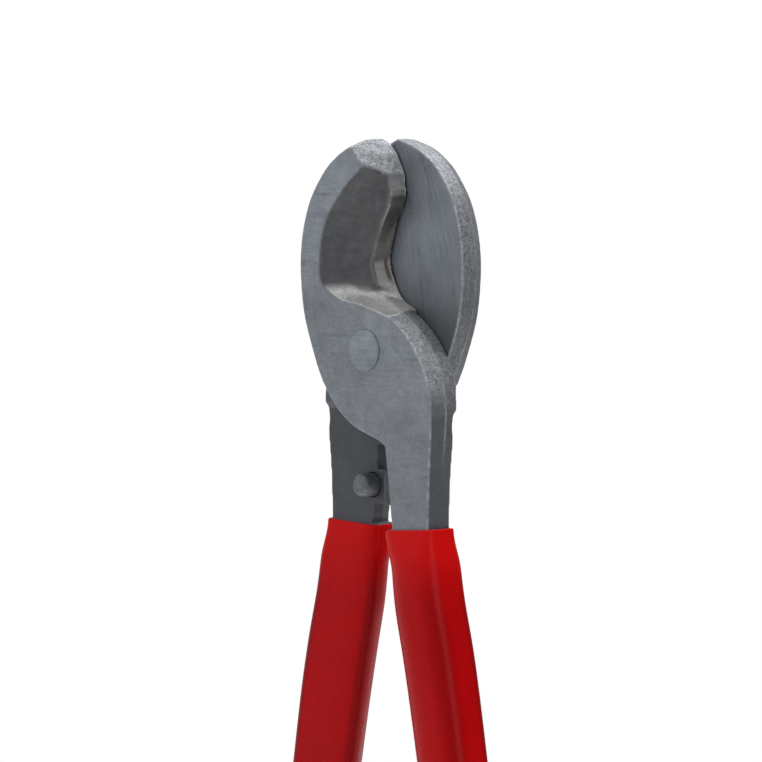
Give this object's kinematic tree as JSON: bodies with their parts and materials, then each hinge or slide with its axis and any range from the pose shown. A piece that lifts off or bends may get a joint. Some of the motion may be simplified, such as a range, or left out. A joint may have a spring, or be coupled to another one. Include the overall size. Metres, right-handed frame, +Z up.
{
  "type": "cable cutter",
  "caption": "Hand cable cutter: two forged shear halves on a flush rivet, hollow-ground curved jaws, stop pins, and dipped red grips.",
  "frame": {"origin": "centre of the box's base: on the pivot's upright centreline, level with the closed ends of the grips, on the shear plane", "axes": "+Z up the tool from the grips to the jaw tips; +Y from the front half to the rear half, along the pivot; +X across the tool, towards the front half's handle"},
  "size_m": [0.0816, 0.021, 0.2398],
  "materials": {
    "forged_steel": "ground faces, blasted walls, dark as-forged necks",
    "rivet_steel": "ground flush with the faces",
    "pin_steel": "fine blasted grey",
    "red_vinyl": "glossy dipped vinyl"
  },
  "bodies": {
    "front_half": {"front_blade_half": "forged_steel", "front_stop_pin": "pin_steel", "front_grip": "red_vinyl", "pivot_rivet": "rivet_steel"},
    "rear_half": {"rear_blade_half": "forged_steel", "rear_stop_pin": "pin_steel", "rear_grip": "red_vinyl"}
  },
  "joints": [
    {"name": "handle_pivot", "type": "hinge", "parent": "front_half", "child": "rear_half", "pos_m": [0, 0, 0.193], "axis": [0, 1, 0], "range_deg": [-10.5, 110]}
  ]
}
